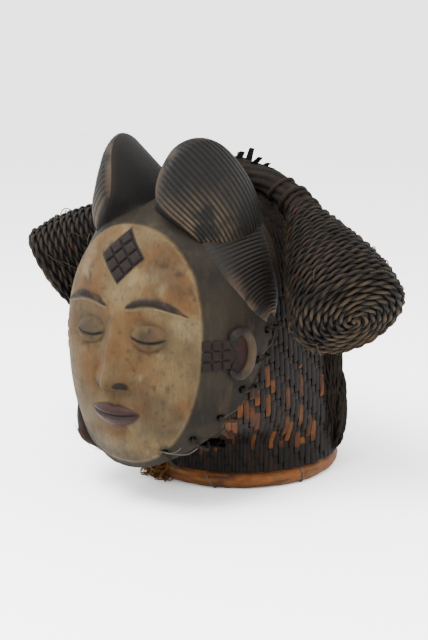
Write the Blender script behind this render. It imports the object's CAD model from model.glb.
# Helmet mask: a carved wooden face with a ribbed coiffure on a plaited hood, with two wicker lobes.
# Lengths are millimetres from the middle of the hoop until a mesh is made.
import math

import bpy
import numpy as np
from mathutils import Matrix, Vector


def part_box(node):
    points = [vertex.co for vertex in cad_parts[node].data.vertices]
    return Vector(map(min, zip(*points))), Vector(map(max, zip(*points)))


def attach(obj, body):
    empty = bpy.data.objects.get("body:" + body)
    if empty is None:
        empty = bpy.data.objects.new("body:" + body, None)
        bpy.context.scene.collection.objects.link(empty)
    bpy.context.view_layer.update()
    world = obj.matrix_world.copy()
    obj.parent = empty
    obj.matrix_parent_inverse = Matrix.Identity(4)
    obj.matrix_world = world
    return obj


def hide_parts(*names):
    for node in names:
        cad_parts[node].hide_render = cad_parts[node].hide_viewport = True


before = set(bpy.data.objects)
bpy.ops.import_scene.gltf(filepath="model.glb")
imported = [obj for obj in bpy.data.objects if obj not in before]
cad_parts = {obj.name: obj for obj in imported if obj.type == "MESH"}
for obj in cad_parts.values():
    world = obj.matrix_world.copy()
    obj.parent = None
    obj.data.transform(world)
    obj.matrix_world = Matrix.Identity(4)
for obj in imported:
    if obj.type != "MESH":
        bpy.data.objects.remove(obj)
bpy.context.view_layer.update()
dice = np.random.default_rng(11)

# Wooden shell
HEAD_CENTRE = np.array([0.0, -83.0, 155.0])
HEAD_HALF_WIDTH = 98
HEAD_DEPTH = 108
HEAD_RISE = 130
HEAD_DROP = 177
OUTLINE_POWER = 2.1
DEPTH_POWER = 2.9
WOOD_WALL = 14
HOLLOW_DEPTH = 84
HEAD_CELLS = 280
HOLLOW_CELLS = 70
RIM_STEPS = 6
REAR_ANGLE_TOP = 103
REAR_ANGLE_CHIN = 49.5
REAR_TURN_FROM = 35
REAR_TURN_TO = 165

# Face
FACE_TOP = 262
FACE_BOTTOM = 48
FACE_HALF_WIDTH = 77
FACE_RAISE = 2
EYE_HEIGHT = 167
EYE_SPREAD = 33
EYE_HALF_LENGTH = 18
WIDEST_BELOW_EYES = 4
OUTLINE_ROUNDNESS = 2.2
SOCKET_DEPTH = 7
SOCKET_HALF_WIDTH = 21
SOCKET_HALF_HEIGHT = 13
SOCKET_LIFT = 4
LID_RISE = 7
LID_HALF_HEIGHT = 11
BROW_RISE = 2.5
BROW_THICKNESS = 3
BROW_LIFT = 8
BROW_DROP = 16
BROW_MIDDLE = 36
BROW_SPAN = 40
BROW_INNER_END = (8, 14)
BROW_OUTER_END = (66, 74)
CHIN_RISE = 5
CHIN_HALF_WIDTH = 24
CHIN_HALF_HEIGHT = 14
CHIN_LIFT = 18
NOSE_RISE = 17
MOUTH_HALF_WIDTH = 26
FACE_THIRD = (FACE_TOP - FACE_BOTTOM) / 3
BROW_HEIGHT = FACE_TOP - FACE_THIRD
NOSE_BASE = FACE_BOTTOM + FACE_THIRD
MOUTH_HEIGHT = NOSE_BASE - FACE_THIRD / 3

# Carved ornament
SCALE_SIDE = 10
SCALE_GAP = 0.8
SCALE_RAISE = 2
SCALE_HEIGHT = 236
TEMPLE_SIDE = 8.5
TEMPLE_GAP = 1
TEMPLE_RAISE = 2
TEMPLE_HEIGHT = 153
TEMPLE_SET_BACK = -158
EAR_HEIGHT = 152
EAR_SET_BACK = -137
EAR_HALF_HEIGHT = 20
EAR_HALF_WIDTH = 14
EAR_RIM = 4.5
EAR_OPENING = 80
EAR_STEPS = 70
EAR_RINGS = 8
TILE_STEPS = 15
TILE_SKIRT = 1.25

# Coiffure
CREST_EDGE = [
    (56, -148, 250),
    (26, -166, 287),
    (33, -154, 327),
    (42, -131, 338),
    (48, -100, 329),
    (56, -64, 290),
    (62, -54, 254),
]
CREST_FRONT_CORNER = 0.2
CREST_TOP_CORNER = 0.58
CREST_FOOT = [(56, -148, 250), (67, -124, 243), (70, -88, 243), (62, -54, 254)]
CREST_BULGE = 19
CREST_RIBS = 20
CREST_LEAN_FRONT = np.array([0.76, -0.6, 0.2])
CREST_LEAN_BACK = np.array([0.6, 0.1, 0.25])
VALLEY_HALF_WIDTH = 4
VALLEY_FRONT = -155
VALLEY_BACK = -62
SUNK = 4
BRAID_FRONT = [(60, -146, 248), (79, -141, 221), (92, -118, 186), (96, -98, 172)]
BRAID_REAR = [(64, -60, 252), (81, -70, 226), (93, -76, 196), (96, -86, 176)]
BRAID_BULGE = 10
BRAID_RIBS = 22

# Lashings
LASH_COUNT = 6
LASH_FROM = 83
LASH_TO = 155
HOLE_RADIUS = 2.6
HOLE_INSET = 9

# Hoop and hood
HOOP_RADIUS = 90
ROLL_RADIUS = 9.3
ROLL_END_SWELL = 7
ROLL_SWELL_SPAN = 16
ROLL_FLAT = math.cos(math.pi / 10)  # the ten-sided roll stands on one of its flats
HOOP_NEAR_END = -122
HOOP_FAR_END = 222
HOOP_STEPS = 420
HOOP_SIDES = 36
HOOP_CAP_RINGS = 9
END_FIBRES = 170
SIDE_FIBRES = 340
STUB_FIBRES = 60
HOOD_FOOT = 18.3
HOOD_HALF_WIDTH = 99
HOOD_CROWN = 284
HOOD_SHOULDER = 60
HOOD_WALL = 5
HOOD_BACK_SHARE = 1.045
HOOD_FRONT_SHARE = 1.95
HOOD_BAND_TOP = 45
HOOD_FULL_FRONT = 95
HOOD_CROWN_SHIFT = -10
THROAT_HALF_WIDTH = 44
THROAT_BACK = -88
PLAIT_PITCH = 7.2
STRIP_POINTS = 5
STRIP_HALF_SHARE = 0.46
STRIP_RISE = 0.75
STRIP_CROWN = 0.55
STRIP_SUNK = 0.4
PITCH_SAMPLES = 2000
GIRTH_HEIGHT = 110.0
LINING_SUNK = 1.9
FOOT_STEPS = 241
LOOSE_FIBRES = 150
LOOSE_FIBRE_STEPS = 26
SEAM_CORDS = 22

# Wicker lobes
NECK_PATH = [(6, -10, 296.5), (44, -12, 287), (80, -16, 265)]
NECK_RADIUS = 11
NECK_END_RADIUS = 15
LOBE_END = np.array([174.0, -79.0, 184.0])
LOBE_RADIUS = 52
LOBE_RIM = 9
LOBE_DOME = 6
TWINE_SPACING = 6.8
TWINE_STEP = 2.6
TWINE_LAY = 27
LOBE_SKIN_SUNK = 2.6
LOOSE_STRANDS = 26
BINDING_HEIGHT = 296
BINDING_HALF_SIZE = (25, 15, 14)

FRAME_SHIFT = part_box("woven_hood")[1].y * 1000 - HOOD_HALF_WIDTH * HOOD_BACK_SHARE


# Numbers and curves


def smooth(start, end, value):
    share = np.clip((value - start) / (end - start), 0, 1)
    return share * share * (3 - 2 * share)


def bell(value, middle, width):
    return np.exp(-(((value - middle) / width) ** 2))


def unit(vectors):
    return vectors / np.linalg.norm(vectors, axis=-1, keepdims=True)


def value_noise(points, seed):
    cell = np.floor(points)
    part = points - cell
    part = part * part * (3 - 2 * part)
    total = 0
    for corner in range(8):
        step = np.array([corner & 1, corner >> 1 & 1, corner >> 2 & 1])
        spot = cell + step
        wave = spot[..., 0] * 127.1 + spot[..., 1] * 311.7 + spot[..., 2] * 74.7 + seed * 53.3
        height = np.sin(wave) * 43758.5453
        share = np.prod(np.where(step, part, 1 - part), axis=-1)
        total = total + share * (height - np.floor(height))
    return total


def cloud(points, size, seed=0, octaves=4):
    total, reach = 0, 0
    for octave in range(octaves):
        weight = 0.5**octave
        total = total + weight * value_noise(points / size / weight, seed + octave)
        reach += weight
    return total / reach


def colour(red, green, blue):
    shade = np.array([red, green, blue]) / 255
    return 0.135 * ((shade + 0.055) / 1.055) ** (2.75, 2.85, 3.0)


def mix(first, second, share):
    return first + (second - first) * np.asarray(share)[..., None]


def walked(line):
    return np.concatenate([[0], np.cumsum(np.linalg.norm(np.diff(line, axis=0), axis=1))])


def curve(knots, shares):
    knots = np.array(knots, float)
    held = np.vstack([2 * knots[0] - knots[1], knots, 2 * knots[-1] - knots[-2]])
    spans = len(knots) - 1

    def at(share):
        place = np.clip(share * spans, 0, spans - 1e-9)
        span = place.astype(int)
        t = (place - span)[:, None]
        p0, p1, p2, p3 = held[span], held[span + 1], held[span + 2], held[span + 3]
        gaps = (p1 - p0, p2 - p1, p3 - p2)
        d0, d1, d2 = (np.sqrt(np.linalg.norm(gap, axis=1))[:, None] for gap in gaps)
        m1 = ((p1 - p0) / d0 - (p2 - p0) / (d0 + d1) + (p2 - p1) / d1) * d1
        m2 = ((p2 - p1) / d1 - (p3 - p1) / (d1 + d2) + (p3 - p2) / d2) * d1
        return p1 + m1 * t + (3 * (p2 - p1) - 2 * m1 - m2) * t**2 + (2 * (p1 - p2) + m1 + m2) * t**3

    fine = np.linspace(0, 1, 400)
    walk = walked(at(fine))
    return at(np.interp(np.asarray(shares) * walk[-1], walk, fine))


# Meshes


def net(rows, columns, wrap=False):
    i, j = np.meshgrid(np.arange(rows - 1), np.arange(columns if wrap else columns - 1), indexing="ij")
    k = (j + 1) % columns
    quads = [i * columns + j, i * columns + k, (i + 1) * columns + k, (i + 1) * columns + j]
    return np.stack(quads, axis=-1).reshape(-1, 4)


def facing(faces, turned):
    return faces[:, ::-1] if turned else faces


def tube(path, radius, sides, side_way):
    tangent = unit(np.gradient(path, axis=0))
    side_way = np.broadcast_to(side_way, path.shape)
    normal = unit(side_way - np.sum(side_way * tangent, axis=-1, keepdims=True) * tangent)
    other = np.cross(tangent, normal)
    angle = (2 * np.pi * np.arange(sides) / sides)[None, :, None]
    radius = np.broadcast_to(radius, len(path))[:, None, None]
    return path[:, None] + radius * (normal[:, None] * np.cos(angle) + other[:, None] * np.sin(angle))


class Bundle:
    """Grids of points that become one mesh. A tint is red, green, blue and roughness."""

    def __init__(self):
        self.points, self.quads, self.tints, self.grains = [], [], [], []
        self.count = 0

    def add(self, points, quads, tint, rough, grain=None):
        points = points.reshape(-1, 3)
        tint = np.broadcast_to(np.asarray(tint).reshape(-1, 3), points.shape)
        rough = np.broadcast_to(np.asarray(rough).reshape(-1, 1), (len(points), 1))
        self.points.append(points)
        self.quads.append(quads + self.count)
        self.tints.append(np.hstack([tint, rough]))
        self.grains.append(points if grain is None else grain.reshape(-1, 3))
        self.count += len(points)

    def strand(self, path, radius, sides, side_way, tint, rough=0.8, seed=0.0):
        skin = tube(path, radius, sides, side_way)
        walk = walked(path)
        grain = np.zeros(skin.shape)
        grain[..., 0] = walk[:, None] * 0.12
        grain[..., 1] = np.cos(2 * np.pi * np.arange(sides) / sides) * 2
        grain[..., 2] = np.sin(2 * np.pi * np.arange(sides) / sides) * 2 + seed * 7.3
        tint = np.asarray(tint)
        if tint.ndim == 2:
            tint = np.repeat(tint[:, None], sides, axis=1)
        self.add(skin, net(len(path), sides, wrap=True), tint, rough, grain)


def piece(name, bundle, material, node):
    points = (np.vstack(bundle.points) + (0, FRAME_SHIFT, 0)) / 1000
    quads = np.vstack(bundle.quads).astype(np.int32)
    shape = bpy.data.meshes.new(name)
    shape.vertices.add(len(points))
    shape.vertices.foreach_set("co", points.astype(np.float32).ravel())
    shape.loops.add(quads.size)
    shape.loops.foreach_set("vertex_index", quads.ravel())
    shape.polygons.add(len(quads))
    shape.polygons.foreach_set("loop_start", np.arange(len(quads), dtype=np.int32) * 4)
    shape.polygons.foreach_set("use_smooth", np.ones(len(quads), dtype=bool))
    tint = shape.color_attributes.new("tint", "FLOAT_COLOR", "POINT")
    tint.data.foreach_set("color", np.vstack(bundle.tints).astype(np.float32).ravel())
    grain = shape.attributes.new("grain", "FLOAT_VECTOR", "POINT")
    grain.data.foreach_set("vector", np.vstack(bundle.grains).astype(np.float32).ravel())
    shape.update(calc_edges=True)
    shape.validate()
    shape.materials.append(material)
    item = bpy.data.objects.new(name, shape)
    bpy.context.scene.collection.objects.link(item)
    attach(item, "root")
    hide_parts(node)
    return item


def finish_of(name, patchy, grainy, relief, gloss):
    """A surface that takes colour and roughness from the tint. Patches and grain each have a scale and a
    spread, and the relief has a scale and a height."""
    (patch_scale, patch_spread), (grain_scale, grain_spread), (bump_scale, bump_height) = patchy, grainy, relief
    material = bpy.data.materials.new(name)
    material.use_nodes = True
    nodes, links = material.node_tree.nodes, material.node_tree.links
    shader = nodes["Principled BSDF"]
    shader.inputs["Specular IOR Level"].default_value = gloss
    tint = nodes.new("ShaderNodeAttribute")
    tint.attribute_name = "tint"
    grain = nodes.new("ShaderNodeAttribute")
    grain.attribute_name = "grain"

    def noise(scale, detail):
        node = nodes.new("ShaderNodeTexNoise")
        node.inputs["Scale"].default_value = scale
        node.inputs["Detail"].default_value = detail
        node.inputs["Roughness"].default_value = 0.62
        links.new(grain.outputs["Vector"], node.inputs["Vector"])
        return node.outputs["Fac"]

    def spread(source, low, high):
        node = nodes.new("ShaderNodeMapRange")
        node.inputs["From Min"].default_value = 0.28
        node.inputs["From Max"].default_value = 0.72
        node.inputs["To Min"].default_value = low
        node.inputs["To Max"].default_value = high
        links.new(source, node.inputs["Value"])
        return node.outputs["Result"]

    def scaled(source, factor):
        node = nodes.new("ShaderNodeVectorMath")
        node.operation = "SCALE"
        links.new(source, node.inputs[0])
        links.new(factor, node.inputs["Scale"])
        return node.outputs["Vector"]

    patches = noise(patch_scale, 5)
    fine = noise(grain_scale, 8)
    shade = scaled(tint.outputs["Color"], spread(patches, 1 - patch_spread, 1 + patch_spread))
    shade = scaled(shade, spread(fine, 1 - grain_spread, 1 + grain_spread))
    links.new(shade, shader.inputs["Base Color"])
    rough = nodes.new("ShaderNodeMath")
    rough.operation = "ADD"
    rough.use_clamp = True
    links.new(tint.outputs["Alpha"], rough.inputs[0])
    links.new(spread(fine, -0.1, 0.1), rough.inputs[1])
    links.new(rough.outputs["Value"], shader.inputs["Roughness"])
    bump = nodes.new("ShaderNodeBump")
    bump.inputs["Strength"].default_value = 1
    bump.inputs["Distance"].default_value = bump_height / 1000
    links.new(noise(bump_scale, 8), bump.inputs["Height"])
    links.new(bump.outputs["Normal"], shader.inputs["Normal"])
    return material


# Head shell


def shell_radius(way, depth=HEAD_DEPTH, growth=0.0):
    across = np.abs(way[..., 0]) / (HEAD_HALF_WIDTH + growth)
    tall = np.where(way[..., 2] > 0, HEAD_RISE, HEAD_DROP) + growth
    outline = across**OUTLINE_POWER + (np.abs(way[..., 2]) / tall) ** OUTLINE_POWER
    front = (np.abs(way[..., 1]) / (depth + growth)) ** DEPTH_POWER
    return (outline ** (DEPTH_POWER / OUTLINE_POWER) + front) ** (-1 / DEPTH_POWER)


def head_way(turn, lean):
    turn, lean = np.radians(turn), np.radians(lean)
    flat = np.sin(lean)
    return np.stack([flat * np.sin(turn), -np.cos(lean), flat * np.cos(turn)], axis=-1)


def rear_angle(turn):
    turned = np.abs(turn)
    turned = np.where(turned > 180, 360 - turned, turned)
    share = smooth(REAR_TURN_FROM, REAR_TURN_TO, turned)
    return REAR_ANGLE_TOP + (REAR_ANGLE_CHIN - REAR_ANGLE_TOP) * share


def shell_point(turn, lean, growth=0.0):
    way = head_way(turn, lean)
    return HEAD_CENTRE + way * shell_radius(way, growth=growth)[..., None]


def behind_wood(points, slack):
    """Degrees by which a point lies behind the rear edge of the wood, seen from the middle of the head."""
    way = unit(points - HEAD_CENTRE)
    lean = np.degrees(np.arccos(np.clip(-way[..., 1], -1, 1)))
    turn = np.degrees(np.arctan2(way[..., 0], way[..., 2]))
    return lean - rear_angle(turn) - slack


def face_share(x, z):
    widest = EYE_HEIGHT - WIDEST_BELOW_EYES
    up = np.where(z > widest, (z - widest) / (FACE_TOP - widest), (widest - z) / (widest - FACE_BOTTOM))
    return (np.abs(x) / FACE_HALF_WIDTH) ** OUTLINE_ROUNDNESS + np.abs(up) ** OUTLINE_ROUNDNESS


def eye_slit(side):
    across = (side - EYE_SPREAD) / EYE_HALF_LENGTH
    return EYE_HEIGHT - 3.5 + 4 * across**2, across


def brow_arc(side):
    return BROW_HEIGHT + BROW_LIFT - BROW_DROP * ((side - BROW_MIDDLE) / BROW_SPAN) ** 2


def mouth_line(side):
    return MOUTH_HEIGHT - 0.3 + 2.5 * (side / MOUTH_HALF_WIDTH) ** 2


def lip_share(side, z):
    """1 on the line of the closed mouth, 0 on the border of the lips."""
    reach = np.clip(1 - (side / MOUTH_HALF_WIDTH) ** 2, 1e-3, 1)
    above = (z - mouth_line(side)) / (10.5 * reach**0.7 - 1.2 * bell(side, 0, 3.5))
    below = (mouth_line(side) - z) / (11.5 * reach**0.6)
    return np.where(side < MOUTH_HALF_WIDTH, 1 - np.maximum(above, below), -1), reach


def face_relief(x, z):
    side = np.abs(x)
    plate = FACE_RAISE * (1 - smooth(0.95, 1.05, face_share(x, z)))
    socket = -SOCKET_DEPTH * bell(side, EYE_SPREAD, SOCKET_HALF_WIDTH)
    socket = socket * bell(z, EYE_HEIGHT + SOCKET_LIFT, SOCKET_HALF_HEIGHT)
    slit, across = eye_slit(side)
    lid_share = 1 - across**2 - ((z - EYE_HEIGHT) / LID_HALF_HEIGHT) ** 2
    lid = LID_RISE * np.sqrt(np.maximum(0, lid_share))
    lid = lid - 2.2 * bell(z, slit, 1.2) * (1 - smooth(0.78, 1.0, np.abs(across)))
    lid = lid - 1.1 * smooth(slit + 0.5, slit - 1.5, z) * np.sqrt(np.maximum(0, lid_share))
    brow = BROW_RISE * bell(z, brow_arc(side), BROW_THICKNESS) * smooth(*BROW_INNER_END, side)
    brow = brow * (1 - smooth(*BROW_OUTER_END, side))
    down = smooth(NOSE_BASE, BROW_HEIGHT, z)
    ridge = (NOSE_RISE + (3 - NOSE_RISE) * down) * bell(side, 0, 11 - 4 * down)
    tip = 1.5 * bell(side, 0, 8) * bell(z, NOSE_BASE + 9, 7)
    wing = 6 * bell(side, 13, 6.5) * bell(z, NOSE_BASE + 8, 8)
    fold = -1.2 * bell(np.hypot(side - 12, z - NOSE_BASE - 6), 13, 2.2) * smooth(12, 20, side)
    span = smooth(NOSE_BASE - 2.5, NOSE_BASE + 3.5, z) * (1 - smooth(BROW_HEIGHT - 12, BROW_HEIGHT + 6, z))
    muzzle = 5 * bell(side, 0, 34) * bell(z, MOUTH_HEIGHT, 22)
    share, reach = lip_share(side, z)
    lips = 6 * np.sqrt(np.maximum(0, 1 - (1 - np.maximum(0, share)) ** 2)) * reach**0.4
    line = 2.4 * bell(z, mouth_line(side), 1.3)
    lips = lips - line * (1 - smooth(MOUTH_HALF_WIDTH - 5, MOUTH_HALF_WIDTH + 1, side))
    groove = -0.9 * bell(side, 0, 3) * bell(z, MOUTH_HEIGHT + 17, 6)
    under = -1.3 * bell(side, 0, 17) * bell(z, MOUTH_HEIGHT - 18, 4)
    chin = CHIN_RISE * bell(side, 0, CHIN_HALF_WIDTH) * bell(z, FACE_BOTTOM + CHIN_LIFT, CHIN_HALF_HEIGHT)
    cheek = 3 * bell(side, 44, 20) * bell(z, NOSE_BASE + 6, 26)
    nose = (ridge + tip + wing) * span + fold
    return plate + socket + lid + brow + nose + muzzle + lips + groove + under + chin + cheek


def lash_seats():
    seats = []
    for i in range(LASH_COUNT):
        turn = LASH_FROM + (LASH_TO - LASH_FROM) * i / (LASH_COUNT - 1)
        lean = float(rear_angle(turn))
        rim = shell_point(turn, lean)
        inset = math.degrees(HOLE_INSET / np.linalg.norm(rim - HEAD_CENTRE))
        in_wood = shell_point(turn, lean - inset)
        in_hood = shell_point(turn, lean + inset)
        in_wood[1] -= face_relief(in_wood[0], in_wood[2])
        seats.append((in_wood, in_hood, unit(rim - HEAD_CENTRE)))
    return seats


def flipped(point):
    return point * np.array([-1, 1, 1])


WOOD = colour(76, 69, 55)
WOOD_DARK = colour(44, 39, 34)
WOOD_WORN = colour(122, 109, 84)
KAOLIN = colour(164, 142, 104)
KAOLIN_PALE = colour(194, 176, 140)
OCHRE = colour(154, 112, 66)
SOOT = colour(80, 70, 54)
PIGMENT = colour(32, 23, 21)
LIP = colour(80, 32, 22)
NEARLY_BLACK = colour(24, 20, 18)


def head_tint(points):
    x, z = points[..., 0], points[..., 2]
    side = np.abs(x)
    patch = cloud(points, 34, 3)
    speck = cloud(points, 7, 9)
    streak = cloud(points * (1, 1, 0.25), 6, 5)
    wood = mix(WOOD, WOOD_DARK, smooth(0.45, 0.75, patch) * 0.7)
    wood = mix(wood, WOOD_WORN, smooth(0.55, 0.85, streak) * 0.45)
    white = mix(KAOLIN, OCHRE, smooth(0.42, 0.72, patch) * 0.75)
    white = mix(white, KAOLIN_PALE, smooth(0.5, 0.75, cloud(points, 22, 17)) * 0.6)
    white = mix(white, SOOT, smooth(0.55, 0.8, speck) * 0.6)
    white = mix(white, SOOT, smooth(0.46, 0.7, cloud(points, 46, 27)) * 0.45)
    white = mix(white, WOOD_DARK, smooth(0.66, 0.74, cloud(points, 3.2, 29)) * 0.35)
    socket = bell(side, EYE_SPREAD, 21) * bell(z, EYE_HEIGHT + 3, 12)
    white = mix(white, SOOT, np.clip(socket * (0.55 + 0.5 * streak), 0, 0.85))
    chin = smooth(110, 55, z) * 0.35 * smooth(0.35, 0.65, streak)
    white = mix(white, SOOT, chin)
    nose = smooth(0.3, 0.75, bell(side, 12, 6) * bell(z, NOSE_BASE + 4, 5))
    white = mix(white, PIGMENT, np.clip(nose * (0.9 + 0.9 * speck), 0, 0.9))
    share = face_share(x, z)
    edge = bell(share, 0.985, 0.016)
    white = mix(white, KAOLIN_PALE, edge * 0.4)
    plate = (1 - smooth(0.975, 1.035, share + 0.02 * (streak - 0.5))) * (points[..., 1] < HEAD_CENTRE[1])
    tint = mix(wood, white, plate)
    thick = 2.9 * smooth(6, 22, side) * smooth(72, 50, side) + 0.3
    ends = smooth(9, 14, side) * (1 - smooth(64, 70, side))
    brow = bell(z, brow_arc(side) + 0.4, thick) * ends
    tint = mix(tint, PIGMENT, np.clip(1.9 * brow, 0, 0.95) * (0.7 + 0.3 * smooth(0.3, 0.5, speck)))
    tint = mix(tint, KAOLIN_PALE, 0.8 * bell(z, brow_arc(side) - thick - 1.2, 0.9) * ends)
    slit, across = eye_slit(side)
    tint = mix(tint, PIGMENT, bell(z, slit, 1.5) * (1 - smooth(0.85, 1.05, np.abs(across))))
    lips = smooth(-0.06, 0.1, lip_share(side, z)[0])
    tint = mix(tint, LIP, lips * 0.96)
    line = bell(z, mouth_line(side), 1.6)
    tint = mix(tint, PIGMENT, line * (1 - smooth(MOUTH_HALF_WIDTH - 3, MOUTH_HALF_WIDTH + 1, side)))
    scales = np.abs(x) + np.abs(z - SCALE_HEIGHT)
    tint = mix(tint, PIGMENT, 1 - smooth(23.5, 25, scales))
    rough = 0.62 + 0.2 * patch - 0.24 * lips
    return tint, rough, plate


def round_grid(cells):
    a = np.linspace(-1, 1, cells + 1)
    a, b = np.meshgrid(a, a, indexing="ij")
    wide = np.abs(a) > np.abs(b)
    reach = np.where(wide, a, b)
    safe = np.where(reach == 0, 1, reach)
    angle = np.where(wide, np.pi / 4 * b / safe, np.pi / 2 - np.pi / 4 * a / safe)
    x, z = reach * np.cos(angle), reach * np.sin(angle)
    return np.hypot(x, z), np.degrees(np.arctan2(x, z))


def border_of(cells):
    ids = np.arange((cells + 1) ** 2).reshape(cells + 1, cells + 1)
    return np.concatenate([ids[0, :-1], ids[:-1, -1], ids[-1, :0:-1], ids[:0:-1, 0]])


def head_shell():
    share, turn = round_grid(HEAD_CELLS)
    way = head_way(turn, share**1.2 * rear_angle(turn))
    points = HEAD_CENTRE + way * shell_radius(way)[..., None]
    tint, rough, plate = head_tint(points)
    chips = (cloud(points, 16, 21) - 0.5) * 1.5 + (cloud(points, 5, 23) - 0.5) * 0.5
    relief = face_relief(points[..., 0], points[..., 2])
    points = points + way * (chips * (1 - 0.75 * plate))[..., None]
    points[..., 1] -= relief
    for in_wood, _, _ in SEATS:
        for spot in (in_wood, flipped(in_wood)):
            gap = np.linalg.norm(points - spot, axis=-1)
            pit = 1 - smooth(HOLE_RADIUS * 0.75, HOLE_RADIUS * 1.35, gap)
            points = points - way * (9 * pit)[..., None]
            tint = mix(tint, colour(8, 7, 6), np.clip(1.4 * pit, 0, 1))
            tint = mix(tint, WOOD_DARK, 0.6 * bell(gap, HOLE_RADIUS * 1.9, 2))
    bundle = Bundle()
    bundle.add(points, net(*points.shape[:2])[:, ::-1], tint, rough, points * (0.1, 0.1, 0.035))
    ring = border_of(HEAD_CELLS)
    outer = points.reshape(-1, 3)[ring]
    ways = way.reshape(-1, 3)[ring]
    inner = HEAD_CENTRE + ways * shell_radius(ways, HOLLOW_DEPTH + WOOD_WALL, -WOOD_WALL)[:, None]
    rim = np.stack([outer + (inner - outer) * share for share in np.linspace(0, 1, RIM_STEPS)])
    grime = 0.3 + 0.5 * cloud(rim, 9, 31) + smooth(165, 190, rim[..., 2])
    shade = mix(WOOD, WOOD_DARK, np.clip(grime, 0, 1))
    shade = mix(shade, KAOLIN, smooth(62, 48, rim[..., 2]) * smooth(0.4, 0.6, cloud(rim, 8, 33)) * 0.7)
    bundle.add(rim, net(RIM_STEPS, len(ring), wrap=True), shade, 0.8, rim * (0.1, 0.1, 0.1))
    share, turn = round_grid(HOLLOW_CELLS)
    way = head_way(turn, share * rear_angle(turn))
    hollow = HEAD_CENTRE + way * shell_radius(way, HOLLOW_DEPTH + WOOD_WALL, -WOOD_WALL)[..., None]
    shade = mix(WOOD, WOOD_DARK, 0.2 + 0.6 * cloud(hollow, 20, 41))
    hollow = hollow + way * ((cloud(hollow, 12, 43) - 0.5) * 2)[..., None]
    bundle.add(hollow, net(*hollow.shape[:2]), shade, 0.85, hollow * (0.1, 0.1, 0.03))
    return bundle


def valley_line(along):
    y = VALLEY_FRONT + (VALLEY_BACK - VALLEY_FRONT) * along
    front = (np.abs(y - HEAD_CENTRE[1]) / HEAD_DEPTH) ** DEPTH_POWER
    side = (VALLEY_HALF_WIDTH / HEAD_HALF_WIDTH) ** OUTLINE_POWER
    height = HEAD_RISE * ((1 - front) ** (OUTLINE_POWER / DEPTH_POWER) - side) ** (1 / OUTLINE_POWER)
    return np.stack([np.full_like(y, VALLEY_HALF_WIDTH), y, HEAD_CENTRE[2] + height - SUNK / 2], axis=-1)


def crest_side(u, v):
    """The ribbed side: u counts across the ribs from front to back, v runs down along a rib."""
    def edge(share):
        return curve(CREST_EDGE, share)

    start = edge(CREST_FRONT_CORNER + (CREST_TOP_CORNER - CREST_FRONT_CORNER) * u)[:, None]
    foot = curve(CREST_FOOT, u)[:, None]
    first = edge(CREST_FRONT_CORNER * (1 - v))[None]
    last = edge(CREST_TOP_CORNER + (1 - CREST_TOP_CORNER) * v)[None]
    u, v = u[:, None, None], v[None, :, None]
    near = start[0] + (foot[0] - start[0]) * v
    far = start[-1] + (foot[-1] - start[-1]) * v
    points = start + (foot - start) * v + (first - near) * (1 - u**2) + (last - far) * u**2
    lean = CREST_LEAN_FRONT + (CREST_LEAN_BACK - CREST_LEAN_FRONT) * u
    return points + 4 * CREST_BULGE * np.sqrt(u * (1 - u) * v * (1 - v)) * lean


def crests():
    bundle = Bundle()
    u = np.linspace(0, 1, CREST_RIBS * 9 + 1)
    v = np.linspace(0, 1, 110)
    wave = np.abs(np.sin(np.pi * CREST_RIBS * u))[:, None] + 0 * v
    rib = 1.3 * wave**0.7 * smooth(0, 0.08, v)
    outer = crest_side(u, v)
    outer = outer + (rib + (cloud(outer, 14, 51) - 0.5) * 0.8)[..., None] * CREST_LEAN_FRONT
    dark = mix(colour(44, 40, 34), colour(28, 25, 22), cloud(outer, 24, 53))
    patch = cloud(outer, 13, 55)
    tint = mix(dark, colour(78, 68, 54), smooth(0.5, 0.75, patch) * 0.4)
    tint = mix(tint, colour(16, 13, 12), (1 - wave**0.6) * 0.8)
    low = smooth(306, 256, outer[..., 2]) * smooth(-90, -140, outer[..., 1])
    tint = mix(tint, colour(168, 146, 118), low * wave**2 * 0.8 * smooth(0.3, 0.6, patch))
    worn = smooth(0.06, 0, v) * smooth(0.35, 0.6, patch)
    tint = mix(tint, colour(122, 104, 86), worn * 0.8)
    border = curve(CREST_EDGE, np.linspace(0, 1, 140))
    inward = np.linspace(0, 1, 26)[:, None, None]
    inner = border + inward * (valley_line(np.linspace(0, 1, 140)) - border)
    inner = inner + (2.5 * np.sin(np.pi * inward)) * np.array([-0.6, 0, 0.6])
    shade = mix(colour(38, 33, 28), colour(24, 21, 19), cloud(inner, 18, 59))
    shade = mix(shade, colour(82, 71, 60), bell(inward[..., 0], 0, 0.08) * 0.6 + 0 * shade[..., 0])
    foot = outer[:, -1]
    closing = np.stack([foot, foot + (-14, 0, -12)])
    for side in (1, -1):
        hand = np.array([side, 1, 1])
        for grid, tones in ((outer, tint), (inner, shade)):
            faces = net(*grid.shape[:2])
            turned = (side > 0) == (grid is outer)
            rough = 0.58 if grid is outer else 0.75
            bundle.add(grid * hand, facing(faces, turned), tones, rough, grid * 0.1)
        bundle.add(closing * hand, net(*closing.shape[:2]), colour(45, 39, 35), 0.7, closing * 0.1)
    return bundle


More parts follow.
